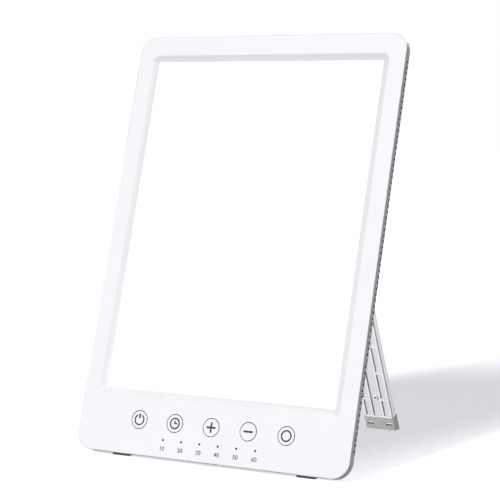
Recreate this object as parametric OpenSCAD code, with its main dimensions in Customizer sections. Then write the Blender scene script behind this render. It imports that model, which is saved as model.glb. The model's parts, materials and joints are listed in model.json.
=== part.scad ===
// Panel lamp for light therapy, standing on two rubber feet and two fold-out legs.
// A thin rounded panel leans back. An edge-lit light stack fills its window, a row of
// five push buttons and six timer lights sits below it, and both legs fold into the back.
// Panel pieces are drawn in the panel's own frame: x to the right, y up the front face
// and z out of it, so that a depth behind the face is a negative z.

/* [Panel] */
// Width of the panel
panel_w = 210; // [200:1:230]
// Height of the panel, measured up its front face
panel_h = 298; // [290:1:330]
// Thickness of the panel
panel_t = 15; // [14.8:0.1:17]
// Radius of the panel's corners
corner_r = 12; // [11.5:0.5:14]
// Angle that the panel leans back
lean = 17.2; // [14:0.2:20]
// Depth of the front frame's side, down to the seam
front_side = 2.8; // [2.4:0.1:3.4]
// Depth at which the rear cover's side turns into its sloping edge
side_depth = 5.8; // [5.4:0.1:6.2]
// Thickness of the front frame's face
face_wall = 1.8; // [1.6:0.1:2.2]
// Wall of the rear cover
cover_wall = 1.8; // [1.5:0.1:2]
// Width of the front frame's rim that locates the rear cover
rim_wall = 1.2; // [1:0.1:1.6]
// Height of that rim past the seam
rim_reach = 1.8; // [1:0.1:2]

/* [Window] */
// Width of the border on each side of the lit area
side_border = 16.4; // [15:0.1:24]
// Width of the border above the lit area
top_border = 18.4; // [16.4:0.1:26]
// Width of the border below the lit area
window_bottom = 44.8; // [44.5:0.1:50]
// Width of the sloping border around the lit area
window_bevel = 4.6; // [3:0.1:5]
// Corner radius of that border at the front face
bevel_r = 4.6; // [3:0.1:5]
// Straight land left below the sloping border
window_land = 0.3; // [0.2:0.1:0.5]

/* [Light stack] */
// Thickness of the milky front plate
diffuser_t = 2; // [1.5:0.1:2]
// Margin of the milky plate behind the frame
diffuser_margin = 5; // [4.5:0.1:5]
// Thickness of the brightening film
film_t = 0.3; // [0.2:0.1:0.4]
// Thickness of the light guide
guide_t = 3; // [2.8:0.1:3]
// Margin of the light guide behind the frame
guide_margin = 2.8; // [2.4:0.1:2.9]
// Thickness of the white reflector
reflector_t = 0.3; // [0.2:0.1:0.3]
// Thickness of the aluminium plate
plate_t = 1; // [0.8:0.1:1]
// Width of each light strip's board
strip_w = 3; // [2.6:0.1:3]
// Thickness of a light strip's board
strip_t = 1; // [0.8:0.1:1]
// Height of a light chip on the strip
chip_t = 0.8; // [0.6:0.1:0.8]
// Light chips on each strip
chip_count = 36; // [24:1:40]
// Gap between the chips and the light guide
chip_gap = 0.2; // [0.1:0.1:0.3]

/* [Controls] */
// Radius of a button's cap
button_r = 6; // [5.5:0.1:6.5]
// Gap around a button's cap
button_gap = 0.4; // [0.2:0.05:0.45]
// Distance between neighbouring buttons
button_pitch = 28.5; // [27:0.5:29]
// Height of the buttons above the panel's bottom edge
button_v = 24; // [24:0.1:24.6]
// Travel of a button
button_travel = 0.8; // [0.5:0.1:0.9]
// Radius of a timer light
dot_r = 0.7; // [0.5:0.1:0.8]
// Distance between neighbouring timer lights
dot_pitch = 14.3; // [13.5:0.1:15]
// Height of the timer lights above the panel's bottom edge
dot_v = 12; // [12:0.1:13]
// Thickness of the control board
board_t = 1.2; // [1:0.1:1.2]
// Depth of the control board's front face
board_d = 6.4; // [6.2:0.1:6.4]
// Reach of the control board past the outer buttons' middles
board_reach = 11; // [10.5:0.5:13]

/* [Ventilation grooves] */
// Width of a groove
groove_w = 1.4; // [1:0.1:1.8]
// Distance between neighbouring grooves
groove_pitch = 3.94; // [3.5:0.01:4.5]
// Grooves on each side
groove_count = 67; // [55:1:67]
// Depth of a groove in the wall
groove_cut = 1.1; // [0.8:0.1:1.1]
// Depth behind the front face at which a groove starts in the side
groove_start = 3.3; // [3.2:0.1:3.6]
// Depth behind the front face at which a groove ends on the slope
groove_end = 12.5; // [11:0.1:13]
// Uncut wall on each side of the edge between side and slope
groove_bridge = 0.7; // [0.5:0.1:0.9]

/* [Legs] */
// Distance from the panel's middle to each leg's middle
leg_x = 44; // [43.8:0.1:44.4]
// Width of a leg at its hinge
leg_w = 27; // [26:0.2:27]
// Width of a leg at its boot
leg_foot_w = 23.6; // [23:0.1:25]
// Height of the hinges above the panel's bottom edge
hinge_v = 231; // [215:1:240]
// Angle between an open leg and the panel
leg_open = 41.8; // [38:0.1:46]
// Thickness of a leg over its ribs
leg_t = 4.9; // [4.6:0.1:5]
// Thickness of a leg's plate
leg_plate_t = 3; // [2.8:0.1:3.2]
// Thickness of a leg's ribs
leg_rib_t = 1.2; // [1:0.1:1.5]
// Distance of the outer ribs from a leg's middle
outer_rib_x = 10.3; // [9.6:0.1:10.7]
// Distance of the inner ribs from a leg's middle
inner_rib_x = 4.2; // [3.8:0.1:4.8]
// Distance between neighbouring cross ribs
cross_pitch = 23; // [18:1:28]
// Radius of a hinge pin
pin_r = 1.25; // [1:0.05:1.3]
// Radial running clearance of a leg on its pin
pin_gap = 0.05; // [0.03:0.01:0.08]
// Clearance between a leg and each side of its bay
bay_gap = 0.7; // [0.6:0.05:0.9]
// Clearance between a folded leg and the floor of its bay
bay_floor_gap = 0.2; // [0.1:0.1:0.3]
// Wall of a bay
bay_wall = 1.3; // [1:0.1:1.3]
// Height of a leg's rubber boot
boot_h = 10; // [9:0.5:12]
// Width of a boot
boot_w = 24; // [23.8:0.1:26]
// Depth of a boot in front of its leg's ribs
boot_toe = 0.55; // [0.45:0.05:0.65]
// Depth of a boot behind its leg's back
boot_heel = 2; // [0.5:0.1:2.2]
// Radius of a boot's upright edges
boot_edge_r = 1.2; // [0.8:0.1:1.4]
// Wall of a boot beside the leg's tongue
boot_wall = 0.8; // [0.6:0.1:1.2]
// Width of a boot's windows
boot_window_w = 4.6; // [4:0.2:5.4]
// Height of a boot's windows
boot_window_h = 2.2; // [1.8:0.1:2.6]
// Distance of a boot's windows from its middle
boot_window_x = 7.5; // [7:0.1:8]

/* [Rubber feet] */
// Width of a rubber foot
foot_w = 13.6; // [10:0.2:16]
// Distance of the rubber feet's middles from the panel's side edges
foot_inset = 33.2; // [28:0.2:36]
// Depth of a foot's front edge behind the front face
foot_front = 6.5; // [6.3:0.1:7]
// Depth of a foot's rear edge behind the front face
foot_back = 12.5; // [11.5:0.1:13]
// Reach of a foot's front edge below the panel's bottom edge
foot_reach = 1.2; // [1:0.1:2]
// Depth of the pocket that holds a foot
foot_pocket = 0.8; // [0.5:0.1:1]

/* [Power inlet] */
// Distance of the inlet from the panel's left side edge, seen from the front
jack_inset = 21; // [20:0.5:24]
// Height of the inlet above the panel's bottom edge
jack_v = 26; // [24:0.5:28]
// Outer radius of the inlet
jack_r = 4; // [3.8:0.1:4.2]
// Radius of the plug's bore
jack_bore_r = 2.8; // [2.7:0.05:2.9]
// Radius of the inlet's centre pin
jack_pin_r = 1.05; // [1:0.05:1.25]

/* [Hidden] */
$fn = 48;
LEFT = -1;
RIGHT = 1;
overcut = 1;
hull_fn = 40;

foot_x = panel_w / 2 - foot_inset;
jack_x = panel_w / 2 - jack_inset;

// Colours
shell_white = [0.95, 0.95, 0.96];
light_white = [1, 1, 0.98];
clear_plastic = [0.86, 0.9, 0.92];
aluminium = [0.75, 0.76, 0.78];
steel = [0.6, 0.61, 0.63];
board_green = [0.12, 0.35, 0.2];
dark_plastic = [0.12, 0.12, 0.13];
dot_grey = [0.25, 0.26, 0.27];
rubber_grey = [0.45, 0.45, 0.45];
rubber_dark = [0.2, 0.2, 0.21];
copper = [0.72, 0.42, 0.2];

// Depths of the light stack, from the front
window_w = panel_w - 2 * side_border;
window_h = panel_h - top_border - window_bottom;
lip_d = face_wall;
film_d = lip_d + diffuser_t;
guide_d = film_d + film_t;
reflector_d = guide_d + guide_t;
plate_d = reflector_d + reflector_t;
plate_back_d = plate_d + plate_t;
window_top = window_bottom + window_h;
bevel_depth = face_wall - window_land;
guide_hw = window_w / 2 + guide_margin;
diffuser_hw = window_w / 2 + diffuser_margin;
chip_hw = guide_hw + chip_gap;
strip_hw = chip_hw + chip_t;
flange_hw = strip_hw + strip_t;
flange_lift = 3.4;
strip_gap = 0.1;
strip_end_gap = 3.6;
chip_len = 3;
chip_w = 1.4;
frame_rib_t = 1.2;
frame_rib_gap = 0.2;
frame_rib_end = 16;

// Shape of the rear cover
taper = panel_t - side_depth;
taper_mitre = cover_wall * (sqrt(2) - 1);
cover_inner_d = panel_t - cover_wall;
cover_inner_turn_d = side_depth - taper_mitre;
cover_inner_taper = cover_inner_d - cover_inner_turn_d;
lap_gap = 0.1;
rim_inset = cover_wall + lap_gap;
rim_d = front_side + rim_reach;

// Screws: head radius, head height, shank radius
screw_gap = 0.02;
screw_clearance = 0.2;
case_head_r = 2.3;
case_head_h = 1.7;
case_shank_r = 1.25;
case_seat_d = 9;
case_joint_d = 7;
case_tip_d = 3.4;
case_boss_r = 2.7;
case_boss_wall = 0.8;
case_bore_gap = 0.3;
case_inset = 6.8;
case_corner_inset = 9;
case_spots = [
    for (sx = [LEFT, RIGHT]) [sx * (panel_w / 2 - case_corner_inset), case_corner_inset],
    for (sx = [LEFT, RIGHT]) [sx * (panel_w / 2 - case_corner_inset), panel_h - case_corner_inset],
    [0, case_inset],
    [0, panel_h - case_inset]
];
small_head_r = 1.9;
small_head_h = 1.4;
small_shank_r = 1;
small_boss_r = 2.2;
small_tip_d = 3;
screw_bay_gap = 0.6;
bay_w = leg_w + 2 * bay_gap;
beside_bay_x = leg_x + bay_w / 2 + bay_wall + small_head_r + screw_bay_gap;
ear_gap = 0.4;
ear_w = 8;
ear_inner_x = 20;
ear_x = [-beside_bay_x, -ear_inner_x, ear_inner_x, beside_bay_x];
ear_offset = 1.8;
ear_low_v = window_bottom - diffuser_margin - frame_rib_gap - frame_rib_t - ear_offset;
ear_high_v = window_top + diffuser_margin + frame_rib_gap + frame_rib_t + ear_offset;
plate_margin = guide_margin + 0.4;
plate_low_v = window_bottom - plate_margin;
plate_high_v = window_top + plate_margin;

// Controls
button_x = [-2 * button_pitch, -button_pitch, 0, button_pitch, 2 * button_pitch];
button_flange_t = 0.75;
button_flange_over = 1.1;
button_seat_gap = 0.05;
button_flange_d = face_wall + button_seat_gap;
button_stem_r = 2.5;
stem_end_d = button_flange_d + button_flange_t + 0.6;
switch_h = 2.2;
switch_w = 6;
switch_d = board_d - switch_h;
plunger_r = 1.4;
plunger_gap = 0.1;
plunger_in = 0.8;
plunger_end_d = switch_d + plunger_in;
switch_bore_d = plunger_end_d + button_travel + 0.2;
dot_x = [for (i = [0:5]) (i - 2.5) * dot_pitch];
pipe_r = 1;
pipe_gap = 0.04;
pipe_bar_d = 4.2;
pipe_bar_t = 1;
led_h = 0.6;
led_w = 1.6;
led_gap = 0.1;
board_w = 4 * button_pitch + 2 * board_reach;
board_below_dots = 2;
board_above_buttons = 8.7;
board_low_v = dot_v - board_below_dots;
board_high_v = button_v + board_above_buttons;
board_h = board_high_v - board_low_v;
board_screw_low = 3.3;
board_screw_high = 2;
board_spots = [
    for (sx = [LEFT, RIGHT]) [sx * beside_bay_x, board_low_v + board_screw_low],
    for (sx = [LEFT, RIGHT]) [sx * button_pitch / 2, board_high_v - board_screw_high]
];
component_sizes = [[-18, 7, 6, 5], [-8, 5, 5, 1], [2, 8, 8, 3.6], [12, 5, 6, 2]];
wire_r = 0.5;
wire_step = 1.2;
wire_board_gap = 0.1;
wire_d = board_d - wire_board_gap - wire_r - wire_step;
wire_turn = 2;
wire_land = 1.5;

// Hinges and bays
leg_back_z = -leg_t / 2;
leg_front_z = leg_t / 2;
hinge_d = panel_t + leg_back_z;
bay_floor_d = panel_t - leg_t - bay_floor_gap;
barrel_r = leg_t / 2 - 0.05;
boss_len = 5;
boss_half_v = 4;
boss_d = bay_floor_d - 0.5;
pin_inset = 0.5;
pin_len = bay_w + 2 * (boss_len - pin_inset);
pin_hole_gap = 0.01;
washer_gap = 0.05;
washer_t = bay_gap - 2 * washer_gap;
washer_r = barrel_r;
stop_gap = 0.1;
heel_plane = hinge_d - bay_floor_d - stop_gap;
heel_back_y = (heel_plane - leg_back_z * cos(leg_open)) / sin(leg_open);
heel_front_y = (heel_plane - (leg_back_z + leg_plate_t) * cos(leg_open)) / sin(leg_open);
heel_swing = sqrt(heel_back_y * heel_back_y + leg_back_z * leg_back_z);
bay_top_v = hinge_v + heel_swing + 0.3;

// Standing pose: the feet's and boots' undersides lie on the ground, z = 0
leg_lean = leg_open - lean;
rest_z = foot_reach * cos(lean) + foot_front * sin(lean);
hinge_height = rest_z + hinge_v * cos(lean) - hinge_d * sin(lean);
hinge_back = hinge_v * sin(lean) + hinge_d * cos(lean);
leg_len = hinge_height / cos(leg_lean);
boot_front_z = leg_front_z + boot_toe;
boot_back_z = leg_back_z - boot_heel;
boot_back = hinge_back + leg_len * sin(leg_lean) - boot_back_z / cos(leg_lean);
rest_y = -boot_back / 2;
boot_run_over = -boot_back_z * tan(leg_lean) + overcut;
boot_top_y = -(leg_len - boot_h - boot_front_z * tan(leg_lean));
tongue_hw = boot_w / 2 - boot_wall;
tongue_step = 0.5;
tongue_front_z = leg_back_z + leg_plate_t - tongue_step;
tongue_back_z = leg_back_z + 0.2;
tongue_gap = 0.05;
tongue_end_y = -(leg_len - 3.6);
nub_h = boot_window_h / 2;
nub_gap = 0.1;
nub_sunk = 0.4;
nub_root = 1;
nub_y = boot_top_y - boot_h / 2 + (boot_window_h - nub_h) / 2 - nub_gap;
leg_straight = 12;
cross_first = 15.8;
screw_eye_up = 17;
eye_r = 1.9;
eye_hole_r = 0.9;
eye_below = 0.4;
eye_h = leg_t - leg_plate_t - eye_below;
cross_count = floor((-boot_top_y - cross_first - 12) / cross_pitch);

// Places a child of the panel's frame in the standing pose
module standing() translate([0, rest_y, rest_z]) rotate([90 - lean, 0, 0]) children();

// Extrudes a flat shape between two depths behind the front face
module layer(front_d, back_d) translate([0, 0, -back_d]) linear_extrude(back_d - front_d) children();

// A cylinder along the panel's normal, between two depths
module post(spot, r, front_d, back_d)
    translate([spot[0], spot[1], -back_d]) cylinder(r = r, h = back_d - front_d);

// The panel's outline, moved inwards by an inset
module outline(inset) {
    w = panel_w - 2 * inset;
    h = panel_h - 2 * inset;
    r = corner_r - inset;
    translate([-w / 2, inset + r]) square([w, h - 2 * r]);
    translate([-w / 2 + r, inset]) square([w - 2 * r, h]);
    for (sx = [LEFT, RIGHT], y = [inset + r, inset + h - r])
        translate([sx * (w / 2 - r), y]) circle(r = r);
}

// A plate of the window's shape with a margin around it
module window_plate(margin)
    translate([-window_w / 2 - margin, window_bottom - margin])
        square([window_w + 2 * margin, window_h + 2 * margin]);

// A straight-sided block that then slopes in at 45 degrees
module sloping_block(front_d, turn_d, back_d, inset) {
    slope = back_d - turn_d;
    r = corner_r - inset;
    hull()
        for (sx = [LEFT, RIGHT], y = [corner_r, panel_h - corner_r])
            translate([sx * (panel_w / 2 - corner_r), y, 0]) {
                translate([0, 0, -turn_d]) cylinder(r = r, h = turn_d - front_d, $fn = hull_fn);
                translate([0, 0, -back_d]) cylinder(r1 = r - slope, r2 = r, h = slope, $fn = hull_fn);
            }
}

// Front frame: face, rim, window, button and light holes, screw bosses
module window_cut() {
    outer_hw = window_w / 2 + window_bevel;
    layer(-overcut, face_wall + overcut) window_plate(0);
    hull() {
        layer(bevel_depth, bevel_depth + 0.01) window_plate(0);
        for (sx = [LEFT, RIGHT], y = [window_bottom - window_bevel + bevel_r,
                window_top + window_bevel - bevel_r])
            translate([sx * (outer_hw - bevel_r), y, -0.001])
                cylinder(r = bevel_r, h = 0.01, $fn = 32);
    }
}

module frame_ribs() {
    side_x = diffuser_hw + frame_rib_gap;
    low_v = window_bottom - diffuser_margin - frame_rib_gap - frame_rib_t;
    high_v = window_top + diffuser_margin + frame_rib_gap;
    for (sx = [LEFT, RIGHT])
        translate([sx * (side_x + frame_rib_t / 2), window_bottom + window_h / 2])
            square([frame_rib_t, window_h - 2 * frame_rib_end], center = true);
    for (y = [low_v, high_v])
        translate([-window_w / 2 + frame_rib_end, y])
            square([window_w - 2 * frame_rib_end, frame_rib_t]);
}

module front_frame() color(shell_white) standing() difference() {
    union() {
        difference() {
            union() {
                layer(0, front_side) outline(0);
                layer(front_side - 0.1, rim_d) outline(rim_inset);
            }
            layer(face_wall, rim_d + overcut) outline(rim_inset + rim_wall);
        }
        layer(face_wall - 0.1, film_d) frame_ribs();
        for (spot = case_spots) post(spot, case_boss_r, face_wall - 0.1, case_joint_d);
        for (spot = board_spots) post(spot, small_boss_r, face_wall - 0.1, board_d);
        for (x = ear_x, v = [ear_low_v, ear_high_v])
            post([x, v], small_boss_r, face_wall - 0.1, plate_d);
    }
    window_cut();
    for (x = button_x) post([x, button_v], button_r + button_gap, -overcut, face_wall + overcut);
    for (x = dot_x) post([x, dot_v], dot_r + pipe_gap, -overcut, face_wall + overcut);
    for (spot = case_spots) post(spot, case_shank_r + screw_gap, case_tip_d, case_joint_d + overcut);
    for (spot = board_spots) post(spot, small_shank_r + screw_gap, small_tip_d, board_d + overcut);
    for (x = ear_x, v = [ear_low_v, ear_high_v])
        post([x, v], small_shank_r + screw_gap, small_tip_d, plate_d + overcut);
}

// Light stack
module diffuser_plate() color(light_white) standing()
    layer(lip_d, film_d) window_plate(diffuser_margin);

module prism_film() color(clear_plastic) standing()
    layer(film_d, guide_d) window_plate(guide_margin);

module light_guide_plate() color(clear_plastic) standing()
    layer(guide_d, reflector_d) window_plate(guide_margin);

module reflector_sheet() color(light_white) standing()
    layer(reflector_d, plate_d) window_plate(guide_margin);

module back_plate() color(aluminium) standing() difference() {
    union() {
        layer(plate_d, plate_back_d)
            translate([-flange_hw - plate_t, plate_low_v])
                square([2 * (flange_hw + plate_t), plate_high_v - plate_low_v]);
        layer(plate_d, plate_back_d)
            for (x = ear_x)
                translate([x - ear_w / 2, ear_low_v - small_boss_r - ear_gap])
                    square([ear_w, ear_high_v - ear_low_v + 2 * (small_boss_r + ear_gap)]);
        for (sx = [LEFT, RIGHT])
            layer(plate_d - flange_lift, plate_d + 0.1)
                translate([sx * (flange_hw + plate_t / 2), (plate_low_v + plate_high_v) / 2])
                    square([plate_t, plate_high_v - plate_low_v], center = true);
    }
    for (x = ear_x, v = [ear_low_v, ear_high_v])
        post([x, v], small_shank_r + screw_clearance, plate_d - overcut, plate_back_d + overcut);
}

module led_strip(side) color(light_white) standing()
    layer(plate_d - strip_gap - strip_w, plate_d - strip_gap)
        translate([side * (strip_hw + strip_t / 2), window_bottom + window_h / 2])
            square([strip_t, window_h - 2 * strip_end_gap + 2 * guide_margin], center = true);

module led_chips(side) color([0.98, 0.9, 0.5]) standing() {
    chip_pitch = (window_h - 2 * strip_end_gap) / chip_count;
    mid_d = (guide_d + reflector_d) / 2;
    for (i = [0:chip_count - 1])
        layer(mid_d - chip_w / 2, mid_d + chip_w / 2)
            translate([side * (chip_hw + chip_t / 2),
                    window_bottom + window_h / 2 + (i - (chip_count - 1) / 2) * chip_pitch])
                square([chip_t, chip_len], center = true);
}

// Rear cover: sloping shell, bays for the legs, hinge bosses, grooves
module bay_slot(side, grow, floor_d, back_d)
    layer(floor_d, back_d)
        translate([side * leg_x - bay_w / 2 - grow, -overcut - grow])
            square([bay_w + 2 * grow, bay_top_v + overcut + 2 * grow]);

module hinge_bosses(side)
    for (sx = [LEFT, RIGHT])
        layer(boss_d, panel_t)
            translate([side * leg_x + sx * (bay_w / 2 + boss_len / 2), hinge_v])
                square([boss_len, 2 * boss_half_v], center = true);

module pin_bore(side)
    translate([side * leg_x, hinge_v, -hinge_d])
        rotate([0, 90, 0]) cylinder(r = pin_r + pin_hole_gap, h = pin_len, center = true);

module groove_row(side) {
    edge_x = panel_w / 2;
    far = edge_x + overcut;
    side_end = side_depth - groove_bridge;
    slope_start = side_depth + groove_bridge;
    slope_x = edge_x - groove_cut * sqrt(2) + side_depth;
    in_side = [[far, -groove_start], [edge_x - groove_cut, -groove_start],
        [edge_x - groove_cut, -side_end], [far, -side_end]];
    in_slope = [[far, -slope_start], [slope_x - slope_start, -slope_start],
        [slope_x - groove_end, -groove_end], [far, -groove_end]];
    for (i = [0:groove_count - 1])
        translate([0, panel_h / 2 + (i - (groove_count - 1) / 2) * groove_pitch, 0])
            mirror([side == LEFT ? 1 : 0, 0, 0])
                for (profile = [in_side, in_slope])
                    rotate([90, 0, 0]) linear_extrude(groove_w, center = true) polygon(profile);
}

module rear_cover() color(shell_white) standing() difference() {
    sloping_block(front_side, side_depth, panel_t, 0);
    difference() {
        sloping_block(front_side - overcut, cover_inner_turn_d, cover_inner_d, cover_wall);
        for (side = [LEFT, RIGHT]) {
            bay_slot(side, bay_wall, bay_floor_d - bay_wall, panel_t);
            hinge_bosses(side);
        }
        for (spot = case_spots)
            post(spot, case_head_r + case_bore_gap + case_boss_wall, case_joint_d, panel_t);
    }
    for (side = [LEFT, RIGHT]) {
        bay_slot(side, 0, bay_floor_d, panel_t + overcut);
        pin_bore(side);
        groove_row(side);
        foot_block(side);
    }
    for (spot = case_spots) {
        post(spot, case_shank_r + screw_clearance, case_joint_d - overcut, case_seat_d + overcut);
        post(spot, case_head_r + case_bore_gap, case_seat_d, panel_t + overcut);
    }
    post([-jack_x, jack_v], jack_r + lap_gap, cover_inner_d - overcut, panel_t + overcut);
}

// Control board and what it carries
module control_board() color(board_green) standing() difference() {
    layer(board_d, board_d + board_t)
        translate([-board_w / 2, board_low_v]) square([board_w, board_h]);
    for (spot = board_spots)
        post(spot, small_shank_r + screw_clearance, board_d - overcut, board_d + board_t + overcut);
}

module tact_switches() color(dark_plastic) standing() difference() {
    layer(switch_d, board_d)
        for (x = button_x) translate([x, button_v]) square(switch_w, center = true);
    for (x = button_x)
        post([x, button_v], plunger_r + plunger_gap, switch_d - overcut, switch_bore_d);
}

module indicator_leds() color(light_white) standing()
    layer(board_d - led_h, board_d)
        for (x = dot_x) translate([x, dot_v]) square([led_w, led_h], center = true);

module light_pipes() color(dot_grey) standing() {
    for (x = dot_x) {
        post([x, dot_v], dot_r, 0, face_wall + 0.1);
        post([x, dot_v], pipe_r, face_wall, board_d - led_h - led_gap);
    }
    layer(pipe_bar_d, pipe_bar_d + pipe_bar_t)
        translate([0, dot_v]) square([5 * dot_pitch + pipe_r, 2 * pipe_r], center = true);
}

module board_components() color(dark_plastic) standing()
    for (part = component_sizes)
        layer(board_d + board_t, board_d + board_t + part[3])
            translate([part[0], button_v - 2]) square([part[1], part[2]], center = true);

module push_button(x) color(shell_white) standing() {
    post([x, button_v], button_r, 0, button_flange_d + 0.1);
    post([x, button_v], button_r + button_flange_over, button_flange_d,
        button_flange_d + button_flange_t);
    post([x, button_v], button_stem_r, button_flange_d, stem_end_d);
}

module plunger(x) color(steel) standing()
    post([x, button_v], plunger_r, stem_end_d, plunger_end_d);

// Power inlet and the wires inside the panel
jack_tail_d = 4.6;
jack_rear_d = panel_t - 0.4;
jack_floor_d = jack_tail_d + 1;
module dc_jack() color(dark_plastic) standing() {
    spot = [-jack_x, jack_v];
    difference() {
        union() {
            post(spot, jack_r, jack_tail_d, jack_rear_d);
            post(spot, jack_r + 1.2, cover_inner_d - 1, cover_inner_d);
        }
        post(spot, jack_bore_r, jack_floor_d, panel_t);
    }
    post(spot, jack_pin_r, jack_floor_d - 0.1, jack_rear_d - 1);
}

// A wire of straight runs with round elbows; points are [x, y, depth]
module wire(points) {
    for (i = [0:len(points) - 2]) {
        run = points[i + 1] - points[i];
        length = norm(run);
        translate([points[i][0], points[i][1], -points[i][2]])
            rotate([0, acos(-run[2] / length), atan2(run[1], run[0])])
                cylinder(r = wire_r, h = length, $fn = 16);
    }
    for (i = [1:len(points) - 2])
        translate([points[i][0], points[i][1], -points[i][2]]) sphere(r = wire_r, $fn = 16);
}

module jack_leads() color(copper) standing()
    for (k = [LEFT, RIGHT])
        wire([[-jack_x, jack_v + k * wire_step, jack_tail_d],
            [-jack_x, jack_v + k * wire_step, jack_tail_d - wire_step],
            [-board_w / 2 + 1, jack_v + k * wire_step, jack_tail_d - wire_step],
            [-board_w / 2 + 1, jack_v + k * wire_step, board_d]]);

module led_leads() color(copper) standing()
    for (side = [LEFT, RIGHT], k = [0, 1]) {
        x_top = side * (strip_hw + strip_t / 2 - 0.1);
        x_end = side * (board_w / 2 - 1 - wire_step * k);
        v_top = window_bottom - guide_margin + strip_end_gap;
        v_turn = board_high_v + wire_turn + wire_step * k;
        d_run = wire_d + wire_step * k;
        wire([[x_top, v_top, d_run], [x_top, v_turn, d_run], [x_end, v_turn, d_run],
            [x_end, board_high_v - wire_land, d_run], [x_end, board_high_v - wire_land, board_d]]);
    }

// Screws
module screws(spots, head_r, head_h, shank_r, tip_d, seat_d) color(steel) standing()
    for (spot = spots) {
        difference() {
            post(spot, head_r, seat_d, seat_d + head_h);
            post(spot, head_r / 3, seat_d + head_h / 2, seat_d + head_h + overcut);
        }
        post(spot, shank_r, tip_d + 0.1, seat_d + 0.1);
    }

module case_screws()
    screws(case_spots, case_head_r, case_head_h, case_shank_r, case_tip_d, case_seat_d);

module board_screws()
    screws(board_spots, small_head_r, small_head_h, small_shank_r, small_tip_d, board_d + board_t);

module plate_screws()
    screws([for (x = ear_x, v = [ear_low_v, ear_high_v]) [x, v]],
        small_head_r, small_head_h, small_shank_r, small_tip_d, plate_back_d);

// Rubber feet, cut level with the ground
module foot_block(side) {
    ground = function(d) (d * sin(lean) - rest_z) / cos(lean);
    pocket = foot_pocket * sqrt(2) - side_depth;
    profile = [[ground(foot_front), -foot_front], [foot_front + pocket, -foot_front],
        [foot_back + pocket, -foot_back], [ground(foot_back), -foot_back]];
    translate([side * foot_x, 0, 0])
        rotate([0, 90, 0]) rotate([0, 0, 90])
            linear_extrude(foot_w, center = true) polygon(profile);
}

module foot_pad(side) color(rubber_dark) standing() foot_block(side);

// Legs, drawn folded: y runs up the panel from the hinge axis
module leg_frame(side)
    standing() translate([side * leg_x, hinge_v, -hinge_d]) rotate([leg_open, 0, 0]) children();

module leg_rib(x, y0, y1)
    translate([x - leg_rib_t / 2, y0, leg_back_z + leg_plate_t - 0.1])
        cube([leg_rib_t, y1 - y0, leg_t - leg_plate_t + 0.1]);

// The leg's plate narrows evenly from its hinge to its boot
module leg_plan()
    polygon([[-leg_foot_w / 2, boot_top_y], [leg_foot_w / 2, boot_top_y], [leg_w / 2, -leg_straight],
        [leg_w / 2, leg_straight], [-leg_w / 2, leg_straight], [-leg_w / 2, -leg_straight]]);

module leg(side) color(shell_white) leg_frame(side) difference() {
    union() {
        intersection() {
            rotate([0, 90, 0]) rotate([0, 0, 90])
                linear_extrude(leg_w, center = true)
                    polygon([[boot_top_y, leg_back_z], [heel_back_y, leg_back_z],
                        [heel_front_y, leg_back_z + leg_plate_t], [boot_top_y, leg_back_z + leg_plate_t]]);
            translate([0, 0, -leg_t]) linear_extrude(2 * leg_t) leg_plan();
        }
        rotate([0, 90, 0]) cylinder(r = barrel_r, h = leg_w, center = true);
        for (sx = [LEFT, RIGHT]) {
            leg_rib(sx * outer_rib_x, boot_top_y, 0);
            leg_rib(sx * inner_rib_x, boot_top_y, 0);
            for (i = [0:cross_count])
                translate([sx * (outer_rib_x + inner_rib_x) / 2,
                        boot_top_y + cross_first + i * cross_pitch, leg_back_z + leg_t / 2])
                    cube([outer_rib_x - inner_rib_x, leg_rib_t, leg_t], center = true);
            translate([sx * boot_window_x, nub_y, -nub_root])
                linear_extrude(nub_root + boot_front_z - nub_sunk)
                    square([boot_window_w - 2 * nub_gap, nub_h], center = true);
        }
        translate([0, boot_top_y + screw_eye_up, leg_back_z]) cylinder(r = eye_r, h = leg_plate_t + eye_h);
        translate([0, boot_top_y + leg_rib_t / 2, leg_back_z + leg_t / 2])
            cube([2 * outer_rib_x + leg_rib_t, leg_rib_t, leg_t], center = true);
        translate([-tongue_hw, tongue_end_y, tongue_back_z])
            cube([2 * tongue_hw, boot_top_y - tongue_end_y + leg_rib_t, tongue_front_z - tongue_back_z]);
    }
    rotate([0, 90, 0]) cylinder(r = pin_r + pin_gap, h = leg_w + 2 * overcut, center = true);
    translate([0, boot_top_y + screw_eye_up, leg_back_z + leg_plate_t])
        cylinder(r = eye_hole_r, h = eye_h + overcut, $fn = 24);
}

module boot_section() translate([0, (boot_front_z + boot_back_z) / 2]) {
    half_t = (boot_front_z - boot_back_z) / 2;
    square([boot_w - 2 * boot_edge_r, 2 * half_t], center = true);
    square([boot_w, 2 * (half_t - boot_edge_r)], center = true);
    for (sx = [LEFT, RIGHT], sz = [LEFT, RIGHT])
        translate([sx * (boot_w / 2 - boot_edge_r), sz * (half_t - boot_edge_r)])
            circle(r = boot_edge_r, $fn = 24);
}

module leg_boot(side) color(rubber_grey) difference() {
    leg_frame(side) difference() {
        translate([0, boot_top_y, 0]) rotate([90, 0, 0])
            linear_extrude(leg_len + boot_run_over + boot_top_y) boot_section();
        translate([-tongue_hw - tongue_gap, tongue_end_y - tongue_gap, tongue_back_z - tongue_gap])
            cube([2 * (tongue_hw + tongue_gap), boot_top_y - tongue_end_y + overcut,
                tongue_front_z - tongue_back_z + 2 * tongue_gap]);
        for (sx = [LEFT, RIGHT])
            translate([sx * boot_window_x, boot_top_y - boot_h / 2, 0])
                linear_extrude(boot_front_z + overcut)
                    square([boot_window_w, boot_window_h], center = true);
    }
    translate([-panel_w, rest_y, -panel_w]) cube([2 * panel_w, panel_h, panel_w]);
}

module hinge_pin(side) color(steel) standing()
    translate([side * leg_x, hinge_v, -hinge_d])
        rotate([0, 90, 0]) cylinder(r = pin_r, h = pin_len, center = true);

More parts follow.
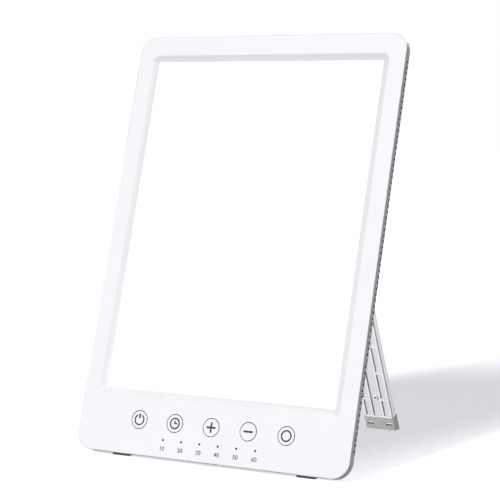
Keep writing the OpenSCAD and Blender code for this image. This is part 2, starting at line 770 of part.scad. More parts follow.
module hinge_washers() color(steel) standing()
    for (side = [LEFT, RIGHT], sx = [LEFT, RIGHT])
        translate([side * leg_x + sx * (bay_w / 2 - bay_gap / 2), hinge_v, -hinge_d])
            rotate([0, 90, 0]) difference() {
                cylinder(r = washer_r, h = washer_t, center = true);
                cylinder(r = pin_r + pin_hole_gap, h = washer_t + overcut, center = true);
            }

front_frame();
diffuser_plate();
prism_film();
light_guide_plate();
reflector_sheet();
back_plate();
led_strip(LEFT);  // left_led_strip
led_strip(RIGHT);  // right_led_strip
led_chips(LEFT);  // left_led_chips
led_chips(RIGHT);  // right_led_chips
rear_cover();
control_board();
tact_switches();
indicator_leds();
light_pipes();
board_components();
push_button(button_x[0]);  // power_button
push_button(button_x[1]);  // timer_button
push_button(button_x[2]);  // plus_button
push_button(button_x[3]);  // minus_button
push_button(button_x[4]);  // mode_button
plunger(button_x[0]);  // power_plunger
plunger(button_x[1]);  // timer_plunger
plunger(button_x[2]);  // plus_plunger
plunger(button_x[3]);  // minus_plunger
plunger(button_x[4]);  // mode_plunger
dc_jack();
jack_leads();
led_leads();
case_screws();
board_screws();
plate_screws();
foot_pad(LEFT);  // left_foot_pad
foot_pad(RIGHT);  // right_foot_pad
leg(LEFT);  // left_leg
leg(RIGHT);  // right_leg
leg_boot(LEFT);  // left_leg_boot
leg_boot(RIGHT);  // right_leg_boot
hinge_pin(LEFT);  // left_hinge_pin
hinge_pin(RIGHT);  // right_hinge_pin
hinge_washers();
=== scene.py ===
"""Looks of a panel lamp: finishes, rounded shells, printed signs, floor, light and camera."""
import json
import math

import bmesh
import bpy
from mathutils import Matrix, Vector


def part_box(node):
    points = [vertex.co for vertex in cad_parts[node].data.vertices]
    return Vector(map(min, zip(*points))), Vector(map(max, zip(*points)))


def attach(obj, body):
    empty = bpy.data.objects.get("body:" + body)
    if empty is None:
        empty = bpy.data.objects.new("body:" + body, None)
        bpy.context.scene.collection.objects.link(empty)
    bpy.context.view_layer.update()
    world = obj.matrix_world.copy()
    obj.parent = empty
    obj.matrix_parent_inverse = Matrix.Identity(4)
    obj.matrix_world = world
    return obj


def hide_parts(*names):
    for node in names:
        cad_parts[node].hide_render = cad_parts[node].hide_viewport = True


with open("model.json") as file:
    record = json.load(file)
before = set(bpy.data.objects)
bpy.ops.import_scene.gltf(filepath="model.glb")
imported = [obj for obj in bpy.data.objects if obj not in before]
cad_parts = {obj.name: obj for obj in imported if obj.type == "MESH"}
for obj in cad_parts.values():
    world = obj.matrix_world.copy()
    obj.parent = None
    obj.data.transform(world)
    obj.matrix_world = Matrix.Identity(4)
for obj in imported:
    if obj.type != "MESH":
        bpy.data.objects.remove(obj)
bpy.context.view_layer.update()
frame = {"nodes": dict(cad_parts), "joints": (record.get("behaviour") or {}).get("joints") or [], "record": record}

# Lengths are in metres and angles in degrees
MM = 0.001
MERGE = 1e-6
LEVEL = 0.02 * MM

# Edges by the angle between their faces
FLAT = 0.6
SHARP = 32
SQUARE = 60
NEARLY_SQUARE = 50
GROUND_EDGE = 30
BORDER_EDGES = (8, 40)
SLOPE_EDGES = (20, 60)

# Faces by a component of their normal
SLOPES = (0.8, 0.99)
FACES_DOWN = -0.1
UPRIGHT = 0.5
SAME_WAY = 0.99

# Camera, from the vanishing lines of the panel's edges
CAMERA_AT = (0.58034, -1.04821, 0.24718)
CAMERA_DOWN = 5.208
CAMERA_TURN = 29.769
CAMERA_LENS = 123.105
SENSOR = 36

# The panel: how far its front reaches back, the room around its corners, and its round edges
FRONT_SIDE = 2.8 * MM
BORDER_ROOM = 4 * MM
CORNER_ROOM = 10 * MM
LIGHT_PIPE_R = 1 * MM
EDGE_R = 0.6 * MM
SEAM_R = 0.35 * MM
WINDOW_EDGE_R = 0.5 * MM
HOLE_EDGE_R = 0.14 * MM
CAP_EDGE_R = 0.14 * MM
BACK_EDGE_R = 1.2 * MM
SIDE_EDGE_R = 0.5 * MM
BAY_EDGE_R = 0.35 * MM

# A groove's faces lie between these depths under the cover's skin
GROOVE_TOP = 0.15 * MM
GROOVE_FLOOR = 1.65 * MM

# The legs and their boots
LEG_EDGE_R = 0.2 * MM
POCKET_LEAST = 1 * MM
EYE_HOLE_R = 0.95 * MM
BOOT_EDGE_R = 0.3 * MM
BOOT_GROUND_R = 0.7 * MM
BOOT_WINDOWS_END = 10.2 * MM
BOOT_WINDOW_DEPTH = 3.2 * MM

# Printed signs
INK_T = 0.03 * MM
SIGN_R = 3.45 * MM
SIGN_STROKE = 1.06 * MM
BAR_STROKE = 1.3 * MM
PLUS_ARM = 3.5 * MM
POWER_GAP = 30
POWER_BAR = (1.1 * MM, 4.2 * MM)
CLOCK_HANDS = (2.0 * MM, 1.9 * MM)
HAND_STROKE = 0.95 * MM
NUMERAL_SIZE = 4.1 * MM
NUMERAL_BELOW = 5.8 * MM
NUMERAL_WIDEN = 0.05 * MM
NUMERAL_CURVE_STEPS = 5
TIMER_STEP = 10
TIMER_LIGHTS = 6

# Lamps: each level is what a white surface that faces the lamp sends back
FLOOR_SUN = dict(turn=-8, height=27, width=10, level=1.7)
OBJECT_SUN = dict(turn=-10, height=42, width=10, level=0.31)
FRONT_FILL = dict(turn=4, height=42, width=20, level=0.585)
LEG_FILL = dict(turn=-3, height=5, width=16, level=0.95)
LEG_BACK = dict(turn=140, height=5, width=40, level=0.5)
BACK_FILL = dict(turn=195, height=15, width=30, level=0.5)
AMBIENT = 0.2
AMBIENT_TINT = (0.98, 0.99, 1)

# The floor: its colour to the camera, its colour to bounced light, and its own glow
FLOOR_COLOUR = 0.5
FLOOR_BOUNCE = 0.15
FLOOR_GLOW = 0.605
FLOOR_FULL_GLOW = 0.935
GLOW_TINT = (0.95, 0.96, 1)
FLOOR_HALF = 6.0
FLOOR_CELLS = 4
# Where its glow paints light over its shadow, so that the shadow fades out: a direction on the floor, and the
# distances along it
FADES = [
    ((-0.497, 0.868), 0.244, 0.426),
    ((0.985, -0.17), 0.05, 0.138),
]


# ---------------------------------------------------------------- the panel's own frame

def joint(name):
    return next(j for j in frame["joints"] if j["name"] == name)


def panel_frame():
    """The panel's own frame: x right, y up the front face, z out of it, from its bottom edge."""
    inward = Vector(joint("power_press")["axis"])
    lean = math.asin(-inward.z)
    low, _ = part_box("front_frame")
    origin = Vector((0, low.y, low.z + FRONT_SIDE * math.sin(lean)))
    return Matrix.Translation(origin) @ Matrix.Rotation(math.pi / 2 - lean, 4, "X")


PANEL = panel_frame()
TO_PANEL = PANEL.inverted()


def panel_points(node):
    """A CAD node's vertices in the panel's frame."""
    return [TO_PANEL @ vertex.co for vertex in frame["nodes"][node].data.vertices]


def panel_box(node):
    """Lowest and highest corner of a CAD node in the panel's frame."""
    points = panel_points(node)
    low = Vector(min(p[axis] for p in points) for axis in range(3))
    high = Vector(max(p[axis] for p in points) for axis in range(3))
    return low, high


# ---------------------------------------------------------------- finishes

# Noise lies mostly between these values. It is stretched by what its coordinates are scaled with
NOISE_LOW, NOISE_HIGH = 0.3, 0.7
DRIFT_DETAIL = 3
RELIEF_DETAIL = 2
EVEN = (1, 1, 1)
DRAWN_ALONG_X = (0.04, 1, 1)
RIBS_ALONG_X = (0.05, 1, 1)
TRACK_SCALE = 180
TRACK_WIDTH = 0.03


def shader_of(material):
    return next(n for n in material.node_tree.nodes if n.type == "BSDF_PRINCIPLED")


def finish(name, colour, roughness, **sockets):
    """A material with its plain values set on the shader's own sockets."""
    material = bpy.data.materials.new(name)
    material.use_nodes = True
    shader = shader_of(material)
    shader.inputs["Base Color"].default_value = (*colour, 1)
    shader.inputs["Roughness"].default_value = roughness
    for socket, value in sockets.items():
        shader.inputs[socket.replace("_", " ")].default_value = value
    return material


def noise(material, size, detail, stretch):
    """Noise whose features are about size metres wide, in the object's own frame."""
    nodes, links = material.node_tree.nodes, material.node_tree.links
    place = nodes.new("ShaderNodeTexCoord")
    mapping = nodes.new("ShaderNodeMapping")
    mapping.inputs["Scale"].default_value = stretch
    texture = nodes.new("ShaderNodeTexNoise")
    texture.inputs["Scale"].default_value = 1 / size
    texture.inputs["Detail"].default_value = detail
    links.new(place.outputs["Object"], mapping.inputs["Vector"])
    links.new(mapping.outputs["Vector"], texture.inputs["Vector"])
    return texture.outputs["Fac"]


def spread(material, value, low, high):
    """Maps the values that noise mostly has onto a range."""
    node = material.node_tree.nodes.new("ShaderNodeMapRange")
    node.inputs["From Min"].default_value = NOISE_LOW
    node.inputs["From Max"].default_value = NOISE_HIGH
    node.inputs["To Min"].default_value = low
    node.inputs["To Max"].default_value = high
    material.node_tree.links.new(value, node.inputs["Value"])
    return node.outputs["Result"]


def mottle(material, size, colour, other, stretch=EVEN):
    """Lets the base colour drift between two close tones."""
    nodes, links = material.node_tree.nodes, material.node_tree.links
    mix = nodes.new("ShaderNodeMix")
    mix.data_type = "RGBA"
    mix.inputs["A"].default_value = (*colour, 1)
    mix.inputs["B"].default_value = (*other, 1)
    factor = spread(material, noise(material, size, DRIFT_DETAIL, stretch), 0, 1)
    links.new(factor, mix.inputs["Factor"])
    links.new(mix.outputs["Result"], shader_of(material).inputs["Base Color"])


def gloss(material, size, low, high, stretch=EVEN):
    """Lets the roughness drift between two values."""
    value = spread(material, noise(material, size, DRIFT_DETAIL, stretch), low, high)
    material.node_tree.links.new(value, shader_of(material).inputs["Roughness"])


def relief(material, *layers):
    """Bump from one or more noises: each layer is (size, height, stretch)."""
    nodes, links = material.node_tree.nodes, material.node_tree.links
    normal = None
    for size, height, stretch in layers:
        bump = nodes.new("ShaderNodeBump")
        bump.inputs["Strength"].default_value = 1
        bump.inputs["Distance"].default_value = height
        links.new(noise(material, size, RELIEF_DETAIL, stretch), bump.inputs["Height"])
        if normal is not None:
            links.new(normal, bump.inputs["Normal"])
        normal = bump.outputs["Normal"]
    links.new(normal, shader_of(material).inputs["Normal"])


def scaled(colour, factor):
    """A colour whose channels are multiplied, up to 1."""
    return tuple(min(1, channel * factor) for channel in colour)


def moulded(name, colour, roughness, grain=0.35 * MM, height=0.006 * MM, **sockets):
    """Injection-moulded plastic: a spark-eroded grain, with tone and gloss that drift a little."""
    material = finish(name, colour, roughness, **sockets)
    mottle(material, 40 * MM, colour, scaled(colour, 0.975))
    gloss(material, 9 * MM, roughness - 0.04, roughness + 0.05)
    relief(material, (grain, height, EVEN), (grain * 6, height * 0.8, EVEN))
    return material


def diffuser_milk():
    """Milky sheet, lit evenly from behind, with the faint haze of its beads."""
    material = finish("diffuser_milk", (0.93, 0.94, 0.95), 0.5,
                      Emission_Color=(1, 1, 1, 1), Emission_Strength=1.0)
    mottle(material, 25 * MM, (0.93, 0.94, 0.95), (0.91, 0.92, 0.94))
    gloss(material, 6 * MM, 0.44, 0.56)
    relief(material, (0.2 * MM, 0.004 * MM, EVEN))
    return material


def clear_sheet(name, colour, ribs):
    """Clear acrylic or film, with fine ribs or etched marks."""
    material = finish(name, colour, 0.12, Transmission_Weight=0.9, IOR=1.49)
    gloss(material, 2 * MM, 0.08, 0.2)
    relief(material, (0.5 * MM, 0.01 * MM, ribs))
    return material


def white_film():
    """White plastic film with a faint grain."""
    material = finish("white_film", (0.94, 0.94, 0.94), 0.55)
    mottle(material, 20 * MM, (0.94, 0.94, 0.94), (0.91, 0.91, 0.92))
    relief(material, (0.4 * MM, 0.005 * MM, EVEN))
    return material


def metal(name, colour, roughness, stretch, height):
    """Metal with drawn lines along one way."""
    material = finish(name, colour, roughness, Metallic=1.0)
    mottle(material, 2 * MM, colour, scaled(colour, 0.88), stretch)
    gloss(material, 0.8 * MM, roughness - 0.07, roughness + 0.1, stretch)
    relief(material, (0.5 * MM, height, stretch))
    return material


def board_mask(name, colour):
    """Solder mask over copper, whose tracks show as paler bands."""
    material = finish(name, colour, 0.35)
    nodes, links = material.node_tree.nodes, material.node_tree.links
    place = nodes.new("ShaderNodeTexCoord")
    tracks = nodes.new("ShaderNodeTexBrick")
    tracks.inputs["Scale"].default_value = TRACK_SCALE
    tracks.inputs["Color1"].default_value = (*colour, 1)
    tracks.inputs["Color2"].default_value = (*scaled(colour, 0.85), 1)
    tracks.inputs["Mortar"].default_value = (*scaled(colour, 1.5), 1)
    tracks.inputs["Mortar Size"].default_value = TRACK_WIDTH
    links.new(place.outputs["Object"], tracks.inputs["Vector"])
    links.new(tracks.outputs["Color"], shader_of(material).inputs["Base Color"])
    gloss(material, 3 * MM, 0.28, 0.42)
    relief(material, (0.4 * MM, 0.01 * MM, EVEN))
    return material


def rubber(name, colour, grain):
    """Matt rubber with a leathery skin and a little chalk, a paler tone that drifts at random."""
    material = finish(name, colour, 0.8)
    mottle(material, 3 * MM, colour, scaled(colour, 1.12))
    gloss(material, 2 * MM, 0.72, 0.9)
    relief(material, (grain, 0.02 * MM, EVEN), (grain * 5, 0.02 * MM, EVEN))
    return material


def ink(name, colour, other):
    """Matt printing ink, whose tone drifts between two blacks."""
    material = finish(name, colour, 0.6)
    mottle(material, 1.5 * MM, colour, other)
    relief(material, (0.15 * MM, 0.004 * MM, EVEN))
    return material


def small_part(name, colour, roughness, **sockets):
    """A small moulded or potted part, such as a switch or a lens."""
    material = finish(name, colour, roughness, **sockets)
    mottle(material, 2 * MM, colour, scaled(colour, 0.9))
    gloss(material, 1.5 * MM, roughness - 0.05, roughness + 0.08)
    relief(material, (0.25 * MM, 0.006 * MM, EVEN))
    return material


FINISHES = {
    "shell": moulded("shell_plastic", (0.925, 0.932, 0.962), 0.46, Specular_IOR_Level=0.35),
    "button": moulded("button_plastic", (0.925, 0.932, 0.96), 0.36, 0.3 * MM, 0.004 * MM),
    "leg_plastic": moulded("leg_plastic", (0.9, 0.905, 0.925), 0.42),
    "diffuser": diffuser_milk(),
    "film": clear_sheet("prism_film", (0.95, 0.96, 0.97), RIBS_ALONG_X),
    "light_guide": clear_sheet("light_guide", (0.93, 0.96, 0.97), EVEN),
    "reflector": white_film(),
    "aluminium": metal("rolled_aluminium", (0.77, 0.78, 0.8), 0.35, DRAWN_ALONG_X, 0.01 * MM),
    "led_board": board_mask("led_board", (0.9, 0.9, 0.86)),
    "led_chip": small_part("led_phosphor", (0.93, 0.8, 0.32), 0.3),
    "board": board_mask("board_green", (0.03, 0.16, 0.06)),
    "switch_body": small_part("black_moulding", (0.03, 0.03, 0.032), 0.45),
    "indicator": small_part("clear_lens", (0.85, 0.85, 0.8), 0.2, Transmission_Weight=0.3),
    "light_pipe": small_part("smoked_moulding", (0.015, 0.015, 0.017), 0.5, Specular_IOR_Level=0.2),
    "wire": small_part("red_insulation", (0.42, 0.025, 0.02), 0.4),
    "steel": metal("plated_steel", (0.62, 0.63, 0.65), 0.3, DRAWN_ALONG_X, 0.008 * MM),
    "foot_rubber": rubber("foot_rubber", (0.33, 0.33, 0.333), 0.5 * MM),
    "boot_rubber": rubber("boot_rubber", (0.4, 0.4, 0.395), 0.4 * MM),
}
INK = ink("printed_ink", (0.01, 0.01, 0.011), (0.016, 0.016, 0.017))
PALE_INK = ink("pale_ink", (0.02, 0.02, 0.021), (0.03, 0.03, 0.031))

# Painted shade for the faces that lie in a shadow too thin for the lamps to draw, and for rims and slopes drawn
# darker than the lamps make them
EDGE_SHADE = moulded("shell_edge", (0.6, 0.605, 0.624), 0.5, height=0.004 * MM)
SLOPE_SHADE = moulded("window_slope", (0.803, 0.808, 0.826), 0.5, height=0.004 * MM)
POCKET_SHADE = moulded("leg_pocket", (0.72, 0.725, 0.745), 0.5)
RING_SHADE = moulded("button_ring", (0.33, 0.33, 0.34), 0.6)
HOLE_SHADE = moulded("hole_shade", (0.05, 0.05, 0.053), 0.7)
GROOVE_SHADE = moulded("groove_shade", (0.06, 0.06, 0.064), 0.7)
CAP_SIDE_SHADE = moulded("cap_side", (0.07, 0.07, 0.073), 0.6, 0.3 * MM, 0.004 * MM)


def dress(piece, material):
    """Gives a piece one material."""
    piece.data.materials.clear()
    piece.data.materials.append(material)


# ---------------------------------------------------------------- pieces

SLOT_OF = {part["node"]: part["material_slot"] for part in frame["record"]["subparts"]}
BODIES = frame["record"]["behaviour"]["bodies"]
BODY_OF = {node: body for body, nodes in BODIES.items() for node in nodes}


def new_piece(name, build, body, materials, smooth=False):
    """A piece from a bmesh in world coordinates, which rides on a body."""
    mesh = bpy.data.meshes.new(name)
    build.to_mesh(mesh)
    build.free()
    for material in materials:
        mesh.materials.append(material)
    if smooth:
        mesh.shade_smooth()
    piece = bpy.data.objects.new(name, mesh)
    bpy.context.scene.collection.objects.link(piece)
    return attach(piece, body)


def rounded(node, name, rules, shades=()):
    """Stands for a CAD node with some of its edges rounded and some of its faces in another shade.

    Each rule is (picks, radius, steps, material): picks says from an edge's ends, in the panel's
    frame, and from its angle in degrees whether that edge is rounded, and the round faces get the
    material, or keep their own where it is None. Each shade is (picks, material), where picks
    says from a face's middle and normal in the panel's frame whether it gets the material.
    """
    finishes = [FINISHES[SLOT_OF[node]]]
    build = bmesh.new()
    build.from_mesh(frame["nodes"][node].data)
    bmesh.ops.remove_doubles(build, verts=build.verts, dist=MERGE)
    bmesh.ops.dissolve_limit(build, angle_limit=math.radians(FLAT), verts=build.verts,
                             edges=build.edges)
    for picks, radius, steps, material in rules:
        chosen = []
        for edge in build.edges:
            if len(edge.link_faces) != 2:
                continue
            ends = [TO_PANEL @ vertex.co for vertex in edge.verts]
            if picks(ends, math.degrees(edge.calc_face_angle())):
                chosen.append(edge)
        made = bmesh.ops.bevel(build, geom=chosen, offset=radius, offset_type="OFFSET",
                               segments=steps, profile=0.5, affect="EDGES", clamp_overlap=False)
        if material is not None:
            finishes.append(material)
            for face in made["faces"]:
                face.material_index = len(finishes) - 1
        bmesh.ops.remove_doubles(build, verts=build.verts, dist=MERGE)
    for picks, material in shades:
        finishes.append(material)
        for face in build.faces:
            middle = TO_PANEL @ face.calc_center_median()
            if picks(middle, TO_PANEL.to_3x3() @ face.normal):
                face.material_index = len(finishes) - 1
    piece = new_piece(name, build, BODY_OF[node], finishes, smooth=True)
    piece.data.set_sharp_from_angle(angle=math.radians(SHARP))
    flatten = piece.modifiers.new("flat faces stay flat", "WEIGHTED_NORMAL")
    flatten.keep_sharp = True
    flatten.weight = 100
    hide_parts(node)
    return piece


def at_depth(ends, depth):
    """True where both ends lie at a depth behind the front face."""
    return all(abs(point.z + depth) < LEVEL for point in ends)


def front_shell():
    low, _ = panel_box("front_frame")
    glass_low, glass_high = panel_box("diffuser_plate")
    lights_end = panel_box("light_pipes")[1].y + LIGHT_PIPE_R

    def outer(point):
        """Outside the window's border and the button row."""
        return (point.x < glass_low.x - BORDER_ROOM or point.x > glass_high.x + BORDER_ROOM
                or point.y > glass_high.y + BORDER_ROOM or point.y < low.y + BORDER_ROOM)

    def rim(ends, angle):
        return angle > SQUARE and at_depth(ends, 0) and all(map(outer, ends))

    def seam(ends, angle):
        return angle > SQUARE and at_depth(ends, FRONT_SIDE) and all(map(outer, ends))

    def border(ends, angle):
        return BORDER_EDGES[0] < angle < BORDER_EDGES[1] and at_depth(ends, 0)

    def light_hole(ends, angle):
        below = all(low.y + BORDER_ROOM < point.y < lights_end for point in ends)
        return angle > SQUARE and below and at_depth(ends, 0)

    def button_hole(ends, angle):
        beside = all(lights_end < point.y < glass_low.y - BORDER_ROOM for point in ends)
        return angle > SQUARE and beside and at_depth(ends, 0)

    def window_slope(middle, normal):
        return abs(middle.x) < glass_high.x + BORDER_ROOM and SLOPES[0] < normal.z < SLOPES[1]

    def under_edge(middle, normal):
        return middle.y < low.y + EDGE_R and -EDGE_R < middle.z and normal.y < FACES_DOWN

    # The outer rim, the button holes' edges and the window's slopes get painted shade; the rim's underside keeps
    # the shell's own finish
    rules = [(rim, EDGE_R, 4, EDGE_SHADE), (seam, SEAM_R, 3, None),
             (border, WINDOW_EDGE_R, 3, None), (light_hole, HOLE_EDGE_R, 2, None),
             (button_hole, HOLE_EDGE_R, 2, RING_SHADE)]
    shades = [(window_slope, SLOPE_SHADE), (under_edge, FINISHES[SLOT_OF["front_frame"]])]
    return rounded("front_frame", "front_shell", rules, shades)


def back_shell():
    low, high = panel_box("rear_cover")
    side_end = max(-point.z for point in panel_points("rear_cover") if point.x > high.x - MERGE)

    def back_rim(ends, angle):
        return SLOPE_EDGES[0] < angle < SLOPE_EDGES[1] and at_depth(ends, -low.z)

    def side_edge(ends, angle):
        return SLOPE_EDGES[0] < angle < SLOPE_EDGES[1] and at_depth(ends, side_end)

    def mouth(ends, angle):
        return angle > SQUARE and at_depth(ends, -low.z)

    def in_groove(middle, normal):
        """A groove's floor and walls lie under the skin that the side and the slope share."""
        skin = high.x - max(0, -middle.z - side_end)
        beside = FRONT_SIDE < -middle.z < -low.z - BACK_EDGE_R
        in_row = low.y + CORNER_ROOM < middle.y < high.y - CORNER_ROOM
        return beside and in_row and GROOVE_TOP < skin - abs(middle.x) < GROOVE_FLOOR

    # The floors and walls of the grooves get painted shade
    rules = [(back_rim, BACK_EDGE_R, 5, None), (side_edge, SIDE_EDGE_R, 3, None),
             (mouth, BAY_EDGE_R, 3, None)]
    return rounded("rear_cover", "back_shell", rules, [(in_groove, GROOVE_SHADE)])


def sharp_edge(ends, angle):
    return angle > NEARLY_SQUARE


def leg_facing(side):
    """The way an open leg's ribs face, in the panel's frame."""
    opened = math.radians(-joint(side + "_leg_hinge")["range_deg"][0])
    return Vector((0, -math.sin(opened), math.cos(opened)))


def leg_moulding(side):
    """A ribbed leg. The floors of its pockets and its screw hole get painted shade."""
    node = side + "_leg"
    facing = leg_facing(side)
    low, high = panel_box(node)
    middle_x, middle_y = (low.x + high.x) / 2, (low.y + high.y) / 2
    points = [point for point in panel_points(node) if point.y < middle_y]
    top = max(facing.dot(point) for point in points)
    eye = [point for point in points if abs(point.x - middle_x) < EYE_HOLE_R]
    eye_top = max(facing.dot(point) for point in eye)
    eye_middle = sum(eye, Vector()) / len(eye)

    def pocket_floor(middle, normal):
        return normal.dot(facing) > SAME_WAY and top - facing.dot(middle) > POCKET_LEAST

    def eye_hole(middle, normal):
        reach = middle - eye_middle
        across = reach - facing * reach.dot(facing)
        return across.length < EYE_HOLE_R and eye_top - facing.dot(middle) > LEG_EDGE_R

    return rounded(node, node + "_moulding", [(sharp_edge, LEG_EDGE_R, 2, None)],
                   [(pocket_floor, POCKET_SHADE), (eye_hole, HOLE_SHADE)])


def boot_moulding(side):
    """A rubber boot. The walls of its windows get painted shade."""
    node = side + "_leg_boot"
    low, high = panel_box(node)
    facing = leg_facing(side)
    top = max(facing.dot(point) for point in panel_points(node))
    middle_x = (low.x + high.x) / 2

    def on_ground(ends, angle):
        return angle > GROUND_EDGE and all((PANEL @ point).z < LEVEL for point in ends)

    def window(middle, normal):
        inside = abs(middle.x - middle_x) < BOOT_WINDOWS_END
        deep = BOOT_EDGE_R < top - facing.dot(middle) < BOOT_WINDOW_DEPTH
        return inside and deep

    return rounded(node, side + "_boot_moulding",
                   [(on_ground, BOOT_GROUND_R, 3, None), (sharp_edge, BOOT_EDGE_R, 2, None)],
                   [(window, HOLE_SHADE)])


def leg_pieces():
    """The ribbed legs and their rubber boots."""
    pieces = []
    for side in ("left", "right"):
        pieces += [leg_moulding(side), boot_moulding(side)]
    return pieces


def button_cap(key):
    node = key + "_button"
    top = -panel_box(node)[1].z

    def cap_rim(ends, angle):
        return angle > SQUARE and at_depth(ends, top)

    def cap_side(middle, normal):
        return -middle.z > top + CAP_EDGE_R and abs(normal.z) < UPRIGHT

    # The cap's round rim and its sides get painted shade, for the shadow in the gap around it
    return rounded(node, key + "_cap", [(cap_rim, CAP_EDGE_R, 2, RING_SHADE)],
                   [(cap_side, CAP_SIDE_SHADE)])


# ---------------------------------------------------------------- printed signs

def band(path, width, closed):
    """A flat printed line along 2D points, as a bmesh with the ink's thickness."""
    build = bmesh.new()
    count = len(path)
    rows = []
    for i, point in enumerate(path):
        before = path[i - 1] if i > 0 or closed else point
        after = path[(i + 1) % count] if i < count - 1 or closed else point
        along = (Vector(after) - Vector(before)).normalized()
        across = Vector((-along.y, along.x)) * width / 2
        edges = [Vector(point) + sign * across for sign in (-1, 1)]
        rows.append([build.verts.new((edge.x, edge.y, 0)) for edge in edges])
    pairs = zip(rows, rows[1:] + rows[:1]) if closed else zip(rows, rows[1:])
    faces = [build.faces.new((a[0], b[0], b[1], a[1])) for a, b in pairs]
    thicken(build, faces)
    return build


def thicken(build, faces):
    """Gives flat faces the ink's thickness, raised from where they lie so that no face floats."""
    extruded = bmesh.ops.extrude_face_region(build, geom=faces)
    for element in extruded["geom"]:
        if isinstance(element, bmesh.types.BMVert):
            element.co.z += INK_T
    bmesh.ops.recalc_face_normals(build, faces=build.faces)


def arc(radius, start, end, steps=48):
    """Points on an arc, with angles in degrees from the top, clockwise."""
    angles = [math.radians(start + (end - start) * i / steps) for i in range(steps + 1)]
    return [(radius * math.sin(a), radius * math.cos(a)) for a in angles]


def circle(radius, steps=56):
    return arc(radius, 0, 360, steps)[:-1]


def merged(*builds):
    """Several bmeshes as one."""
    whole = bmesh.new()
    for build in builds:
        mesh = bpy.data.meshes.new("part")
        build.to_mesh(mesh)
        build.free()
        whole.from_mesh(mesh)
        bpy.data.meshes.remove(mesh)
    return whole


def power_sign():
    return merged(band(arc(SIGN_R, POWER_GAP, 360 - POWER_GAP), SIGN_STROKE, False),
                  band([(0, POWER_BAR[0]), (0, POWER_BAR[1])], BAR_STROKE, False))


def clock_sign():
    corner = HAND_STROKE / 2
    return merged(band(circle(SIGN_R), SIGN_STROKE, True),
                  band([(0, -corner), (0, CLOCK_HANDS[0])], HAND_STROKE, False),
                  band([(corner, 0), (CLOCK_HANDS[1], 0)], HAND_STROKE, False))


def plus_sign():
    inner = BAR_STROKE / 2
    return merged(band([(-PLUS_ARM, 0), (PLUS_ARM, 0)], BAR_STROKE, False),
                  band([(0, -PLUS_ARM), (0, -inner)], BAR_STROKE, False),
                  band([(0, inner), (0, PLUS_ARM)], BAR_STROKE, False))


def minus_sign():
    return band([(-PLUS_ARM, 0), (PLUS_ARM, 0)], BAR_STROKE, False)


def mode_sign():
    return band(circle(SIGN_R), SIGN_STROKE, True)


SIGNS = {
    "power": power_sign,
    "timer": clock_sign,
    "plus": plus_sign,
    "minus": minus_sign,
    "mode": mode_sign,
}


def print_signs():
    for key, sign in SIGNS.items():
        low, high = panel_box(key + "_button")
        centre = (low + high) / 2
        build = sign()
        build.transform(PANEL @ Matrix.Translation((centre.x, centre.y, high.z)))
        piece = new_piece(key + "_sign", build, key + "_button", [INK])


def numeral(number):
    """A number as a bmesh, half sunk."""
    text = bpy.data.curves.new(f"number_{number}", "FONT")
    text.body = str(number)
    text.size = NUMERAL_SIZE
    text.offset = NUMERAL_WIDEN
    text.align_x = "CENTER"
    text.align_y = "CENTER"
    text.extrude = INK_T
    text.resolution_u = NUMERAL_CURVE_STEPS
    maker = bpy.data.objects.new(f"number_{number}_maker", text)
    bpy.context.scene.collection.objects.link(maker)
    bpy.context.view_layer.update()
    shaped = maker.evaluated_get(bpy.context.evaluated_depsgraph_get())
    mesh = bpy.data.meshes.new_from_object(shaped)
    bpy.data.objects.remove(maker)
    build = bmesh.new()
    build.from_mesh(mesh)
    bpy.data.meshes.remove(mesh)
    return build


def print_numerals():
    """One plain number of minutes under each timer light."""
    low, high = panel_box("light_pipes")
    pitch = (high.x - low.x - 2 * LIGHT_PIPE_R) / (TIMER_LIGHTS - 1)
    middle = (low + high) / 2
    for i in range(TIMER_LIGHTS):
        minutes = TIMER_STEP * (i + 1)
        build = numeral(minutes)
        x = middle.x + (i - (TIMER_LIGHTS - 1) / 2) * pitch
        build.transform(PANEL @ Matrix.Translation((x, middle.y - NUMERAL_BELOW, high.z)))
        piece = new_piece(f"minutes_{minutes}", build, "panel", [PALE_INK])


# ---------------------------------------------------------------- floor, light and camera

def largest(tree, values):
    """The largest of some values."""
    total = values[0]
    for value in values[1:]:
        larger = tree.nodes.new("ShaderNodeMath")
        larger.operation = "MAXIMUM"
        tree.links.new(total, larger.inputs[0])
        tree.links.new(value, larger.inputs[1])
        total = larger.outputs[0]
    return total


def seen_directly(tree):
    """1 for camera, glossy and transmission rays, and 0 for the rest."""
    path = tree.nodes.new("ShaderNodeLightPath")
    kinds = ("Is Camera Ray", "Is Glossy Ray", "Is Transmission Ray")
    return largest(tree, [path.outputs[kind] for kind in kinds])


def make_world():
    world = bpy.data.worlds.new("studio")
    bpy.context.scene.world = world
    world.use_nodes = True
    tree = world.node_tree
    tree.nodes.clear()
    shown = tree.nodes.new("ShaderNodeBackground")
    shown.inputs["Color"].default_value = (1, 1, 1, 1)
    soft = tree.nodes.new("ShaderNodeBackground")
    soft.inputs["Color"].default_value = (*AMBIENT_TINT, 1)
    soft.inputs["Strength"].default_value = AMBIENT
    mix = tree.nodes.new("ShaderNodeMixShader")
    out = tree.nodes.new("ShaderNodeOutputWorld")
    tree.links.new(seen_directly(tree), mix.inputs[0])
    tree.links.new(soft.outputs[0], mix.inputs[1])
    tree.links.new(shown.outputs[0], mix.inputs[2])
    tree.links.new(mix.outputs[0], out.inputs["Surface"])


